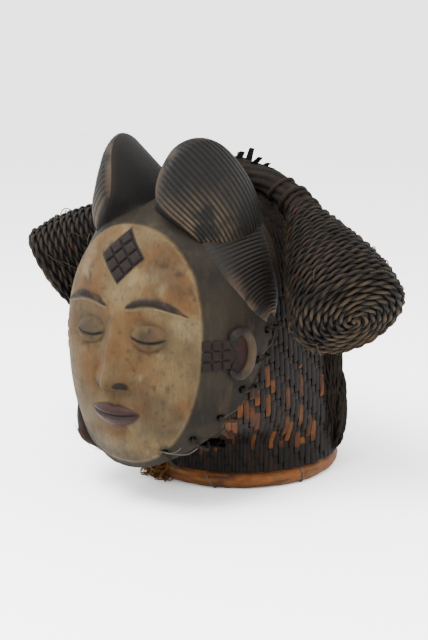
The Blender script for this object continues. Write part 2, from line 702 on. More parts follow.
def braids():
    bundle = Bundle()
    u = np.linspace(0, 1, BRAID_RIBS * 10 + 1)
    v = np.linspace(0, 1, 29)
    grid_u, grid_v = np.meshgrid(u, v, indexing="ij")
    arch = 4 * grid_v * (1 - grid_v)
    along = np.minimum(1, grid_u * (1 - 0.1 * arch))
    front = curve(BRAID_FRONT, along.ravel()).reshape(*along.shape, 3)
    rear = curve(BRAID_REAR, along.ravel()).reshape(*along.shape, 3)
    wave = np.abs(np.sin(np.pi * BRAID_RIBS * grid_u))
    lift = BRAID_BULGE * np.sqrt(arch) * (1 - 0.5 * grid_u) + 1.1 * wave**0.7 * arch
    points = front + (rear - front) * grid_v[..., None] + lift[..., None] * np.array([0.9, 0, 0.35])
    tint = mix(colour(60, 53, 45), colour(38, 33, 29), cloud(points, 20, 61))
    tint = mix(tint, NEARLY_BLACK, (1 - wave**0.5) * 0.6)
    worn = smooth(0.22, 0.02, grid_v) * smooth(0.2, 0.7, grid_u) + smooth(0.86, 0.98, grid_u)
    worn = np.clip(worn, 0, 1) * smooth(0.3, 0.55, cloud(points, 8, 63)) * 0.85
    tint = mix(tint, colour(150, 128, 106), worn)
    for side in (1, -1):
        hand = np.array([side, 1, 1])
        faces = net(*points.shape[:2])
        bundle.add(points * hand, facing(faces, side > 0), tint, 0.55, points * 0.1)
        tip = points[-1]
        cap = np.stack([tip, np.broadcast_to(tip.mean(axis=0) + (-6, 0, -1), tip.shape)])
        bundle.add(cap * hand, net(2, len(v)), tint[-1][None].repeat(2, 0), 0.6, cap * 0.1)
    return bundle


def shell_frame(point):
    way = unit(point - HEAD_CENTRE)
    side = unit(np.cross([0, 0, 1], way))
    rise = np.cross(way, side)

    def on_shell(direction):
        direction = unit(direction)
        return HEAD_CENTRE + direction * shell_radius(direction)

    origin = on_shell(way)
    across = unit(on_shell(way + 0.01 * side) - origin)
    up = unit(on_shell(way + 0.01 * rise) - origin)
    normal = unit(np.cross(across, up))
    return origin, normal, across, np.cross(normal, across)


def side_point(y, z):
    front = (abs(y - HEAD_CENTRE[1]) / HEAD_DEPTH) ** DEPTH_POWER
    tall = HEAD_RISE if z > HEAD_CENTRE[2] else HEAD_DROP
    up = (abs(z - HEAD_CENTRE[2]) / tall) ** OUTLINE_POWER
    share = (1 - front) ** (OUTLINE_POWER / DEPTH_POWER) - up
    return np.array([HEAD_HALF_WIDTH * share ** (1 / OUTLINE_POWER), y, z])


def front_point(x, z):
    up = (abs(z - HEAD_CENTRE[2]) / HEAD_RISE) ** OUTLINE_POWER
    share = 1 - (up + (abs(x) / HEAD_HALF_WIDTH) ** OUTLINE_POWER) ** (DEPTH_POWER / OUTLINE_POWER)
    return np.array([x, HEAD_CENTRE[1] - HEAD_DEPTH * share ** (1 / DEPTH_POWER), z])


def add_tile(bundle, point, side, height, turned, hand, seed):
    _, normal, across, up = shell_frame(point)
    reach = np.linspace(-TILE_SKIRT, TILE_SKIRT, TILE_STEPS)
    p, q = np.meshgrid(reach, reach, indexing="ij")
    outside = np.maximum(np.abs(p), np.abs(q)) > 1.05
    u, v = np.clip(p, -1, 1) * side / 2, np.clip(q, -1, 1) * side / 2
    crown = height - 0.9 * np.maximum(np.abs(p), np.abs(q)) ** 5
    rise = np.where(outside, -SUNK, crown)
    c, s = math.cos(turned), math.sin(turned)
    points = point + (u * c - v * s)[..., None] * across + (u * s + v * c)[..., None] * up
    points = points + (rise + (cloud(points, 3, seed) - 0.5) * 0.5)[..., None] * normal
    tint = mix(colour(36, 22, 15), colour(62, 38, 27), cloud(points, 5, seed))
    tint = mix(tint, colour(18, 14, 13), np.where(outside, 1, 0))
    faces = facing(net(TILE_STEPS, TILE_STEPS), hand > 0)
    bundle.add(points * np.array([hand, 1, 1]), faces, tint, 0.75, points * 0.1)


def ornaments():
    bundle = Bundle()
    pitch = SCALE_SIDE + SCALE_GAP
    for i in range(3):
        for j in range(3):
            x = (i - j) * pitch / math.sqrt(2)
            z = SCALE_HEIGHT + (i + j - 2) * pitch / math.sqrt(2)
            point = front_point(x, z)
            point[1] -= face_relief(x, z)
            add_tile(bundle, point, SCALE_SIDE, SCALE_RAISE, math.pi / 4, 1, i * 3 + j)
    origin, _, across, up = shell_frame(side_point(TEMPLE_SET_BACK, TEMPLE_HEIGHT))
    pitch = TEMPLE_SIDE + TEMPLE_GAP
    for hand in (1, -1):
        for i in range(3):
            for j in range(3):
                spot = shell_frame(origin + across * (i - 1) * pitch + up * (j - 1) * pitch)[0]
                spot[1] -= face_relief(spot[0], spot[2])
                add_tile(bundle, spot, TEMPLE_SIDE, TEMPLE_RAISE, 0, hand, 20 + i * 3 + j)
    origin, normal, across, up = shell_frame(side_point(EAR_SET_BACK, EAR_HEIGHT))
    sweep = math.radians(360 - EAR_OPENING)
    angle = np.linspace(-sweep / 2, sweep / 2, EAR_STEPS)[:, None]
    path = origin + EAR_HALF_WIDTH * np.cos(angle) * across + EAR_HALF_HEIGHT * np.sin(angle) * up
    path = path + normal * EAR_RIM / 3
    share = np.linspace(0, 1, EAR_STEPS)
    closing = np.sqrt(np.clip(np.minimum(share, 1 - share) / 0.06, 0.0004, 1))
    radius = EAR_RIM * (0.75 + 0.25 * np.sin(np.pi * share)) * closing
    rear = smooth(0, 0.8, np.cos(angle[:, 0]))
    worn = np.maximum(rear, smooth(0.45, 0.75, cloud(path, 9, 71)))
    tint = mix(colour(46, 40, 35), colour(132, 112, 90), worn * 0.8)
    disc = np.linspace(0, 1, EAR_RINGS)[:, None, None]
    rim = path + normal * -1.5
    bowl = origin + disc * (rim - origin) - normal * 1.2 * (1 - disc**2)
    bowl_tint = mix(colour(82, 38, 40), colour(44, 33, 30), smooth(0.35, 0.65, cloud(bowl, 7, 73)))
    for hand in (1, -1):
        way = np.array([hand, 1, 1])
        bundle.strand(path * way, radius, 14, normal * way, tint, 0.65, 3)
        faces = facing(net(EAR_RINGS, EAR_STEPS), hand < 0)
        bundle.add((bowl + normal * 1.4) * way, faces, bowl_tint, 0.7, bowl * 0.1)
    return bundle


# Hood


def hood_point(angle, height, growth=0.0):
    share = np.maximum(0, (height - HOOD_SHOULDER) / (HOOD_CROWN + growth - HOOD_SHOULDER))
    half = (HOOD_HALF_WIDTH + growth) * np.sqrt(np.maximum(1e-4, 1 - share**3))
    forward = 1 + (HOOD_FRONT_SHARE - 1) * smooth(HOOD_BAND_TOP, HOOD_FULL_FRONT, height)
    across, along = np.cos(angle), np.sin(angle)
    depth = np.where(along < 0, half * forward, half * HOOD_BACK_SHARE)
    power = np.where(along < 0, 2 + 1.2 * (forward - 1), 2)
    radius = ((np.abs(across) / half) ** power + (np.abs(along) / depth) ** power) ** (-1 / power)
    y = radius * along + HOOD_CROWN_SHIFT * share
    return np.stack([radius * across, y, height + 0 * radius], axis=-1)


def hood_normal(angle, height):
    turn = hood_point(angle + 1e-3, height) - hood_point(angle - 1e-3, height)
    rise = hood_point(angle, height + 0.05) - hood_point(angle, height - 0.05)
    return unit(np.cross(turn, rise))


def above_hood(angle, height, lift):
    normal = hood_normal(angle, height)
    return hood_point(angle, height) + normal * lift[..., None], normal


def off_hood(points):
    inside_wood = behind_wood(points, -0.7) < 0
    x, y, z = points[..., 0], points[..., 1], points[..., 2]
    throat = (np.abs(x) < THROAT_HALF_WIDTH) & (y < THROAT_BACK) & (z < HOOD_FULL_FRONT)
    far, near = (HOOP_RADIUS * math.cos(math.radians(end)) for end in (HOOP_FAR_END, HOOP_NEAR_END))
    mouth = (x > far) & (x < near) & (y < -HOOP_RADIUS / 2) & (z < HOOD_BAND_TOP)
    return inside_wood | (throat & (z > HOOD_BAND_TOP)) | mouth


def kept(faces, points):
    bad = off_hood(points.reshape(-1, 3))
    return faces[~bad[faces].any(axis=1)]


def hood_rows(pitch):
    height = np.linspace(HOOD_FOOT, HOOD_CROWN - 0.3, PITCH_SAMPLES)
    line = hood_point(np.full(PITCH_SAMPLES, np.pi / 2), height)
    walk = walked(line)
    return height, walk / pitch


def hood_columns(pitch):
    angle = np.linspace(0, 2 * np.pi, 2 * PITCH_SAMPLES + 1)
    line = hood_point(angle, np.full(angle.shape, GIRTH_HEIGHT))
    walk = walked(line)
    count = 4 * round(walk[-1] / pitch / 4)
    return angle, walk / walk[-1] * count, count


def twill(column, row):
    """1 where the upright strip lies on top, -1 where it lies under, smooth in between."""
    low = np.floor(row)
    near = np.where((column + low) % 4 < 3, 1, -1)
    far = np.where((column + low + 1) % 4 < 3, 1, -1)
    return near + (far - near) * smooth(0.25, 0.75, row - low)


def strip_faces(strips, steps):
    one = net(steps, STRIP_POINTS)
    return (one[None] + (np.arange(strips) * steps * STRIP_POINTS)[:, None, None]).reshape(-1, 4)


def chance(a, b, seed):
    wave = np.sin(a * 12.9898 + b * 78.233 + seed * 37.719) * 43758.5453
    return wave - np.floor(wave)


CANE_DARK = colour(32, 25, 20)
CANE_BROWN = colour(84, 56, 36)
CANE_ORANGE = colour(176, 112, 46)


def woven_hood():
    height, row_at = hood_rows(PLAIT_PITCH)
    angle, column_at, columns = hood_columns(PLAIT_PITCH)
    bundle = Bundle()
    rows = int(row_at[-1])
    cross = np.array([-1, -0.55, 0, 0.55, 1])
    crown = STRIP_CROWN * (1 - cross**2)

    step = np.linspace(0, row_at[-1], rows * 3)
    column = np.arange(columns)[:, None, None]
    wobble = 0.1 * (chance(column, 0, 1) - 0.5)
    u = column + 0.5 + wobble + STRIP_HALF_SHARE * cross
    a = np.interp(u, column_at, angle)
    h = np.interp(step, row_at, height)[None, :, None]
    a, h = np.broadcast_arrays(a, h)
    lay = twill(column, step[None, :, None] - 0.5)
    points, _ = above_hood(a, h, STRIP_RISE * lay + crown - STRIP_SUNK)
    span = np.floor((column + np.floor(step[None, :, None])) / 4)
    low = smooth(136, 96, h) * smooth(36, 44, h)
    near_seam = smooth(np.radians(2), np.radians(-22), np.where(a > np.pi, a - 2 * np.pi, a))
    near_seam = np.maximum(near_seam, smooth(np.radians(178), np.radians(202), a))
    odds = 0.03 + 0.42 * low * near_seam
    orange = (chance(column, span, 5) < odds) & (h > 34)
    tone = chance(column, span, 6)
    dark = mix(CANE_DARK, CANE_BROWN, tone * 0.5)
    tint = np.where(orange[..., None], mix(CANE_ORANGE, CANE_BROWN, tone * 0.7), dark)
    tint = mix(tint, CANE_DARK, smooth(0.42, 0.75, cloud(points, 9, 81)) * 0.8)
    walk = step[None, :, None] * PLAIT_PITCH
    grain = np.stack(np.broadcast_arrays(cross * 1.3, walk * 0.12, column * 3.7), axis=-1)
    faces = strip_faces(columns, points.shape[1])
    bundle.add(points, kept(faces[:, ::-1], points), tint, 0.62, np.broadcast_to(grain, points.shape))

    reach = np.linspace(0, columns, columns * 3 + 1)[None, :, None]
    row = np.arange(rows)[:, None, None]
    r = row + 0.5 + STRIP_HALF_SHARE * cross
    h = np.interp(r, row_at, height)
    a = np.interp(reach, column_at, angle)
    a, h = np.broadcast_arrays(a, h)
    lay = -twill(np.floor(reach), row + 0.0 * reach)
    next_lay = -twill(np.floor(reach) + 1, row + 0.0 * reach)
    part = reach - np.floor(reach)
    lay = lay + (next_lay - lay) * smooth(0.8, 1.0, part)
    points, _ = above_hood(a, h, STRIP_RISE * lay + crown - STRIP_SUNK)
    tone = chance(row, np.floor(reach / 4), 7)
    tint = mix(CANE_DARK, colour(66, 50, 38), tone * 0.8) + 0 * points
    tint = mix(tint, colour(20, 17, 15), smooth(42, 36, h) * 0.8)
    walk = reach * PLAIT_PITCH
    grain = np.stack(np.broadcast_arrays(walk * 0.12, cross * 1.3, row * 3.7), axis=-1)
    faces = strip_faces(rows, points.shape[1])
    bundle.add(points, kept(faces, points), tint, 0.62, np.broadcast_to(grain, points.shape))
    return bundle


def hood_lining():
    bundle = Bundle()
    for growth, turned in ((-LINING_SUNK, False), (-HOOD_WALL, True)):
        a = np.linspace(0, 2 * np.pi, 181)[None, :]
        share = np.sin(np.linspace(0, np.pi / 2, 60))[:, None]
        h = HOOD_FOOT + (HOOD_CROWN + growth - 0.05 - HOOD_FOOT) * share
        a, h = np.broadcast_arrays(a, h)
        points = hood_point(a, h, growth)
        tint = mix(colour(22, 18, 16), colour(66, 48, 34), cloud(points, 12, 83) * (0.9 if turned else 0.3))
        grain = np.stack([a * 30, h * 0.3, 0 * h], axis=-1)
        faces = kept(net(*points.shape[:2]), points)
        bundle.add(points, facing(faces, turned), tint, 0.85, grain)
    a = np.linspace(0, 2 * np.pi, FOOT_STEPS)
    foot = np.stack([hood_point(a, np.full(FOOT_STEPS, HOOD_FOOT), g) for g in (-0.3, -HOOD_WALL)])
    bundle.add(foot, kept(net(2, FOOT_STEPS), foot), colour(30, 24, 20), 0.85, foot * 0.1)
    return bundle


def hood_fibres():
    bundle = Bundle()
    for k in range(LOOSE_FIBRES):
        start = np.radians(dice.uniform(2, 75))
        low, high = dice.uniform(20, 90), dice.uniform(90, 175)
        h = np.linspace(low, max(high, low + 30), LOOSE_FIBRE_STEPS)
        t = np.linspace(0, 1, LOOSE_FIBRE_STEPS)
        a = start + np.radians(dice.uniform(-7, 7)) * t + np.radians(1.8) * np.sin(t * dice.uniform(4, 11) + k)
        lift = 0.6 + dice.uniform(0, 1.8) + 0.9 * np.sin(t * dice.uniform(5, 14) + 2 * k)
        path, normal = above_hood(a, h, lift)
        width = dice.uniform(0.5, 1.3) * np.sin(np.pi * np.clip(t, 0.02, 0.98)) ** 0.3
        tint = mix(CANE_DARK, colour(98, 80, 62), dice.uniform(0, 0.7))
        bundle.strand(path, width, 5, normal, tint, 0.75, k)
    for k in range(SEAM_CORDS):
        for ply in range(2):
            t = np.linspace(0, 1, 40)
            h = 22 + dice.uniform(-1, 3) + t * dice.uniform(50, 74)
            turned = t * 17 + ply * np.pi + k
            a = np.radians(12 + 2.6 * k + 1.1 * np.sin(turned) + 2.5 * np.sin(3 * t + k))
            lift = 1.8 + 3.2 * np.sin(np.pi * t) ** 0.6 + 1.3 * np.cos(turned)
            path, normal = above_hood(a, h, lift)
            thick = 1.9 * np.sin(np.pi * np.clip(t, 0.04, 0.96)) ** 0.4
            tint = mix(colour(34, 29, 26), colour(86, 72, 58), cloud(path, 7, 85))
            bundle.strand(path, thick, 6, normal, tint, 0.8, k + ply)
    return bundle


# Wicker lobes


def lobe_start():
    return np.array(NECK_PATH[-1], float)


def lobe_axes():
    start = lobe_start()
    axis = unit(LOBE_END - start)
    side = unit(np.cross(axis, [0, 1, 0]))
    return start, axis, side, np.cross(axis, side)


def lobe_profile():
    length = np.linalg.norm(LOBE_END - lobe_start())
    along = np.linspace(0, length - LOBE_RIM, 200)
    swell = np.sin(np.pi / 2 * (along / length) ** 1.15)
    radius = np.minimum(NECK_END_RADIUS + (LOBE_RADIUS - NECK_END_RADIUS) * swell, LOBE_RADIUS - 1.4)
    turn = np.radians(np.linspace(6, 90, 20))
    flat = np.linspace(1, 0, 60)[1:]
    rounded = length - LOBE_RIM + LOBE_RIM * np.sin(turn)
    along = np.concatenate([along, rounded, length + LOBE_DOME * (1 - flat**2)])
    inside = LOBE_RADIUS - LOBE_RIM
    radius = np.concatenate([radius, inside + LOBE_RIM * np.cos(turn), inside * flat])
    walk = np.concatenate([[0], np.cumsum(np.hypot(np.diff(along), np.diff(radius)))])
    return walk, along, radius


def lobe_point(walk_at, theta, lift):
    walk, along, radius = lobe_profile()
    start, axis, side, other = lobe_axes()
    a = np.interp(walk_at, walk, along)
    r = np.interp(walk_at, walk, radius)
    slope_a = (np.interp(walk_at + 1.5, walk, along) - np.interp(walk_at - 1.5, walk, along))
    slope_r = (np.interp(walk_at + 1.5, walk, radius) - np.interp(walk_at - 1.5, walk, radius))
    size = np.hypot(slope_a, slope_r) + 1e-9
    na, nr = -slope_r / size, slope_a / size
    round_way = side * np.cos(theta)[..., None] + other * np.sin(theta)[..., None]
    normal = axis * na[..., None] + round_way * nr[..., None]
    centre = start + axis * a[..., None] + round_way * r[..., None]
    return centre + normal * np.asarray(lift)[..., None], normal


WICKER_DARK = colour(26, 22, 20)
WICKER = colour(54, 48, 41)
WICKER_PALE = colour(146, 128, 106)


def lobe_weave(hand):
    bundle = Bundle()
    walk, along, radius = lobe_profile()
    theta = [0.0]
    place = [0.0]
    twist = [0.0]
    while place[-1] < walk[-1] - 1.2:
        r = max(2.0, float(np.interp(place[-1], walk, radius)))
        turn = TWINE_STEP / r
        theta.append(theta[-1] + turn)
        place.append(place[-1] + TWINE_SPACING * turn / (2 * np.pi))
        twist.append(twist[-1] + 2 * np.pi * TWINE_STEP / TWINE_LAY)
    theta, place, twist = np.array(theta), np.array(place), np.array(twist)
    twist = twist + 0.9 * (cloud(np.stack([theta, 0 * theta, 0 * theta], axis=-1), 2.2, 91) - 0.5) * 6
    for ply in (0, np.pi):
        turned = twist + ply
        uneven = (cloud(np.stack([theta * 1.3, 0 * theta, 0 * theta + ply], axis=-1), 1.0, 93) - 0.5)
        wander = np.clip(place + 1.7 * np.sin(turned) + 1.3 * uneven, 0, walk[-1])
        path, normal = lobe_point(wander, theta, -1.7 + 1.3 * np.cos(turned) + uneven)
        worn = smooth(0.1, 1.0, 0.5 + 0.5 * np.cos(turned))
        low = smooth(0.25, -0.75, normal[:, 2])
        pale = worn**3 * (0.22 + 0.6 * low) * smooth(0.3, 0.62, cloud(path, 16, 95))
        tint = mix(mix(WICKER_DARK, WICKER, worn), WICKER_PALE, pale)
        rust = smooth(0.7, 0.8, cloud(path, 13, 97)) * worn * 0.35
        tint = mix(tint, colour(140, 84, 52), rust)
        thick = 1.65 + 0.7 * uneven
        bundle.strand(path * (hand, 1, 1), thick, 6, normal * (hand, 1, 1), tint, 0.66, ply)
    a = np.linspace(0, 2 * np.pi, 73)[None, :]
    s = np.linspace(0, walk[-1], 70)[:, None]
    s, a = np.broadcast_arrays(s, a)
    skin, _ = lobe_point(s, a, np.full(s.shape, -LOBE_SKIN_SUNK))
    faces = facing(net(*skin.shape[:2]), hand > 0)
    bundle.add(skin * (hand, 1, 1), faces, colour(24, 20, 17), 0.9, skin * 0.1)
    for k in range(LOOSE_STRANDS):
        s0 = walk[-1] * dice.uniform(0.45, 0.75)
        if k < 12 and hand > 0:
            s0, theta0 = dice.uniform(130, 150), dice.uniform(2.6, 3.5)
        else:
            theta0 = dice.uniform(0, 2 * np.pi)
        t = np.linspace(0, 1, 14)
        lift = 0.4 + 4.5 * np.sin(np.pi * t) * dice.uniform(0.2, 1)
        along = s0 + t * dice.uniform(-14, 14)
        path, normal = lobe_point(along, theta0 + t * dice.uniform(-0.5, 0.5), lift)
        tint = mix(WICKER_DARK, WICKER_PALE, dice.uniform(0.2, 1))
        bundle.strand(path * (hand, 1, 1), 0.55, 5, normal * (hand, 1, 1), tint, 0.75, k)
    return bundle


def neck(hand, bundle):
    start, axis, _, _ = lobe_axes()
    steps, sides = 90, 56
    share = np.linspace(0, 1, steps)
    path = curve(NECK_PATH + [tuple(start + axis * NECK_END_RADIUS)], share)
    radius = NECK_RADIUS + (NECK_END_RADIUS - NECK_RADIUS) * share - 0.9
    skin = tube(path, radius, sides, np.array([0, -1.0, 0.3]))
    turn = np.arange(sides) / sides * 2 * np.pi
    cords = np.abs(np.sin(4.5 * turn[None, :] + 9 * share[:, None]))
    ridge = 1.5 * cords**0.7 + 1.2 * (cloud(skin, 6, 101) - 0.5)
    skin = skin + unit(skin - path[:, None]) * ridge[..., None]
    tint = mix(NEARLY_BLACK, colour(70, 58, 48), np.clip(cords * cloud(skin, 8, 103) * 1.5, 0, 1))
    grain = np.stack([share[:, None] * 14 + 0 * turn, turn * 4 + 0 * share[:, None], 0 * ridge], axis=-1)
    faces = net(steps, sides, wrap=True)
    bundle.add(skin * (hand, 1, 1), facing(faces, hand < 0), tint, 0.8, grain)
    for middle, thick in ((0.55, 2.2), (0.72, 3.0), (0.8, 2.4), (0.9, 3.0), (0.97, 2.6)):
        i = int(middle * (steps - 1))
        way = unit(path[i + 1] - path[i - 1])
        one = unit(np.cross(way, [0, -1.0, 0.3]))
        two = np.cross(way, one)
        t = np.linspace(0, 2 * np.pi, 40)[:, None]
        reach = radius[i] + 1.3
        ring = path[i] + reach * (one * np.cos(t) + two * np.sin(t)) + way * 2.5 * np.sin(t + middle * 9)
        tone = mix(colour(28, 24, 21), colour(84, 70, 58), cloud(ring, 7, 105))
        bundle.strand(ring * (hand, 1, 1), thick, 7, way * (hand, 1, 1), tone, 0.8, middle * 10)


def crown_binding():
    bundle = Bundle()
    turn = np.linspace(0, 2 * np.pi, 61)[None, :]
    lean = np.linspace(0.02, np.pi - 0.02, 60)[:, None]
    round_way = (np.cos(lean) + 0 * turn, np.sin(lean) * np.cos(turn), np.sin(lean) * np.sin(turn))
    ball = np.stack(round_way, axis=-1)
    ridge = 0.95 + 0.06 * np.abs(np.sin(9 * lean + 0.7 * np.sin(turn)))
    middle = np.array([0, HOOD_CROWN_SHIFT, BINDING_HEIGHT])
    points = middle + ball * BINDING_HALF_SIZE * ridge[..., None]
    tint = mix(NEARLY_BLACK, colour(74, 62, 52), cloud(points, 6, 107))
    bundle.add(points, net(60, 61)[:, ::-1], tint, 0.8, points * 0.2)
    for side, depth, length, drift, tone in (
        (6, -6, 15, 0.25, 0),
        (13, 2, 19, 0.1, 0),
        (20, -4, 16, 0.75, 0),
        (28, 1, 12, 0.9, 0),
        (36, -2, 9, 1.0, 0),
        (2, 3, 12, -0.1, 1),
        (-10, 0, 10, -0.5, 0),
        (-22, -3, 12, -0.8, 0),
    ):
        foot = np.array([side, HOOD_CROWN_SHIFT + depth, 303 - abs(side) * 0.2])
        t = np.linspace(0, 1, 12)[:, None]
        path = foot + t * length * unit(np.array([drift, 0.1, 1.0])) + t**2 * np.array([2.0, 0, -1.0])
        across = np.array([[-1.0], [-0.3], [0.3], [1.0]]) * unit(np.array([0.8, 0.5, -0.2]))
        ribbon = path[:, None] + across * (3.2 - 1.1 * t[:, None])
        shade = (NEARLY_BLACK, colour(176, 172, 168))[tone]
        bundle.add(ribbon, net(12, 4), shade, 0.7, ribbon * 0.2)
        bundle.add(ribbon + (0.5, 0.7, 0), net(12, 4)[:, ::-1], shade, 0.7, ribbon * 0.2)
    return bundle


# Hoop, jaw roll and ties


BARK = colour(206, 132, 62)
BARK_DARK = colour(98, 58, 36)
BARK_PALE = colour(236, 176, 104)


def hoop_radius(angle):
    return ROLL_RADIUS + ROLL_END_SWELL * bell(angle, HOOP_NEAR_END, ROLL_SWELL_SPAN)


def hoop_point(angle, turn, growth=0.0):
    radius = hoop_radius(angle)
    out = HOOP_RADIUS + (radius + growth) * np.sin(turn)
    height = np.maximum(0, radius * ROLL_FLAT - (radius + growth) * np.cos(turn))
    a = np.radians(angle)
    return np.stack([out * np.cos(a), out * np.sin(a), height + 0 * out], axis=-1)


def curly_fibre(bundle, spot, lowest, tones, power, width, rough, seed):
    t = np.linspace(0, 1, 12)[:, None]
    curl = unit(dice.normal(size=3))
    other = unit(np.cross(curl, dice.normal(size=3)))
    size = dice.uniform(2, 6)
    path = spot + size * (curl * np.sin(3.4 * t) + other * (1 - np.cos(3.4 * t)))
    path[:, 2] = np.maximum(path[:, 2], lowest)
    tone = mix(*tones, dice.uniform(0, 1) ** power)
    bundle.strand(path, width, 4, curl + 0.01, tone, rough, seed)


def base_hoop():
    bundle = Bundle()
    angle = np.linspace(HOOP_NEAR_END, HOOP_FAR_END, HOOP_STEPS)[:, None]
    turn = np.linspace(0, 2 * np.pi, HOOP_SIDES + 1)[None, :-1]
    coord = np.stack(np.broadcast_arrays(angle * 0.09, np.cos(turn) * 2.6, np.sin(turn) * 2.6), axis=-1)
    streak = cloud(coord, 1, 111)
    lump = cloud(coord * (3, 0.5, 0.5), 1, 113)
    seam = bell((turn - 2.5 - angle * 0.012) % (2 * np.pi), np.pi, 0.12)
    growth = -0.7 + 1.0 * (streak - 0.5) + 1.2 * (lump - 0.5) - 0.9 * seam
    points = hoop_point(angle, turn, growth)
    tint = mix(BARK, BARK_DARK, smooth(0.42, 0.7, streak) * 0.8)
    tint = mix(tint, BARK_PALE, smooth(0.5, 0.75, cloud(coord * (1, 2, 2), 1, 115)) * 0.6)
    tint = mix(tint, BARK_DARK, np.clip(seam + smooth(0.6, 0.8, lump) * 0.5, 0, 0.85))
    inner = smooth(0.3, -0.6, np.sin(turn)) * 0.55 + 0 * angle
    tint = mix(tint, colour(40, 27, 20), inner)
    bundle.add(points, net(HOOP_STEPS, HOOP_SIDES, wrap=True)[:, ::-1], tint, 0.6, coord * 1.6)
    for end, sign in ((HOOP_NEAR_END, 1), (HOOP_FAR_END, -1)):
        share = np.linspace(1, 0, HOOP_CAP_RINGS)[:, None]
        radius = hoop_radius(end)
        depth = 2.5 * (1 - share) + 1.2 * np.sin(12 * share + turn)
        a = math.radians(end)
        out = HOOP_RADIUS + (radius - 0.7) * share * np.sin(turn)
        standing = radius * ROLL_FLAT
        height = np.maximum(0, standing - (radius - 0.7) * share * np.cos(turn))
        way = np.array([-math.sin(a), math.cos(a), 0]) * sign
        cap = np.stack([out * math.cos(a), out * math.sin(a), height], axis=-1) + way * depth[..., None]
        tone = mix(colour(52, 34, 24), colour(120, 78, 44), cloud(cap, 3, 117))
        bundle.add(cap, net(HOOP_CAP_RINGS, HOOP_SIDES, wrap=True), tone, 0.85, cap * 0.3)
        for k in range(END_FIBRES if sign > 0 else 0):
            middle = np.array([HOOP_RADIUS * math.cos(a), HOOP_RADIUS * math.sin(a), radius])
            spot = unit(dice.normal(size=3)) * dice.uniform(0.55, 1) * (8, 8, 12)
            spot = middle - way * 3 + spot + (0, 0, 4)
            curly_fibre(bundle, spot, 0.8, (colour(120, 70, 36), colour(236, 172, 104)), 2, 0.55, 0.7, k)
        for k in range(SIDE_FIBRES if sign > 0 else 0):
            at = math.radians(HOOP_NEAR_END + dice.uniform(-1, 20))
            lean = dice.uniform(0.1, 2.4)
            reach = (radius - 1) * dice.uniform(0.85, 1.3)
            out = HOOP_RADIUS + reach * math.sin(lean)
            height = max(1.5, radius - 1 - reach * math.cos(lean))
            spot = np.array([out * math.cos(at), out * math.sin(at), height])
            curly_fibre(bundle, spot, 0.9, (colour(140, 82, 42), colour(255, 188, 108)), 1, 0.6, 0.75, k)
        for k in range(STUB_FIBRES):
            reach = math.sqrt(dice.uniform(0, 0.95)) * (radius - 1)
            spin = dice.uniform(0, 2 * np.pi)
            out = HOOP_RADIUS + reach * math.sin(spin)
            height = max(0.8, radius * ROLL_FLAT - reach * math.cos(spin))
            foot = np.array([out * math.cos(a), out * math.sin(a), height])
            t = np.linspace(0, 1, 8)[:, None]
            drift = np.array([dice.uniform(-2, 2), dice.uniform(-2, 2), dice.uniform(-1, 1.5)])
            path = foot + way * 3 - way * t * dice.uniform(4, 9) + drift * t**2
            path[:, 2] = np.maximum(path[:, 2], 0.6)
            tone = mix(colour(70, 44, 28), colour(170, 118, 70), dice.uniform(0, 1))
            bundle.strand(path, 0.5 * (1 - 0.6 * t[:, 0]), 4, np.array([0.2, 0.1, 1.0]), tone, 0.8, k)
    return bundle


JAW_ROLL_FROM = -106
JAW_ROLL_TO = -146
JAW_ROLL_END = np.array([-44.0, -116.0, 20.0])
JAW_ROLL_RADIUS = 5
JAW_ROLL_OVERHANG = 3
JAW_ROLL_BEHIND = 4
JAW_ROLL_STEPS = 110
JAW_ROLL_SIDES = 28
JAW_ROLL_FIBRES = 70


def jaw_roll():
    bundle = Bundle()
    turn = np.linspace(JAW_ROLL_FROM, JAW_ROLL_TO, 9)
    knots = list(shell_point(turn, rear_angle(turn) + JAW_ROLL_BEHIND, JAW_ROLL_OVERHANG)) + [JAW_ROLL_END]
    share = np.linspace(0, 1, JAW_ROLL_STEPS)
    path = curve(knots, share)
    radius = JAW_ROLL_RADIUS * (1 - 0.35 * (1 - smooth(0, 0.3, share))) * (1 - 0.25 * smooth(0.93, 1, share))
    skin = tube(path, radius, JAW_ROLL_SIDES, np.array([1.0, 0.2, 0]))
    spin = np.arange(JAW_ROLL_SIDES) / JAW_ROLL_SIDES * 2 * np.pi
    coord = np.stack(np.broadcast_arrays(share[:, None] * 14, np.cos(spin) * 2, np.sin(spin) * 2), axis=-1)
    streak = cloud(coord * (0.6, 1.6, 1.6), 1, 121)
    skin = skin + unit(skin - path[:, None]) * ((streak - 0.6) * 2)[..., None]
    tint = mix(colour(92, 54, 30), colour(34, 24, 19), smooth(0.3, 0.6, streak))
    bundle.add(skin, net(JAW_ROLL_STEPS, JAW_ROLL_SIDES, wrap=True), tint, 0.7, coord * 1.6)
    last = JAW_ROLL_STEPS - 1
    for k in range(JAW_ROLL_FIBRES):
        i = dice.integers(8, last)
        spot = path[i]
        way = unit(path[min(i + 1, last)] - path[i - 1])
        out = unit(np.cross(way, dice.normal(size=3)))
        t = np.linspace(0, 1, 9)[:, None]
        reach = dice.uniform(4, 12)
        line = spot + out * (radius[i] - 0.3) + t * way * reach * dice.choice([-1, 1]) + out * 1.6 * t**2
        tone = mix(colour(56, 38, 28), colour(150, 102, 60), dice.uniform(0, 1))
        bundle.strand(line, 0.45 * (1 - 0.7 * t[:, 0]), 4, out, tone, 0.8, k)
    return bundle


SEATS = lash_seats()
CORD = colour(112, 102, 86)
LASH_STEPS = 34


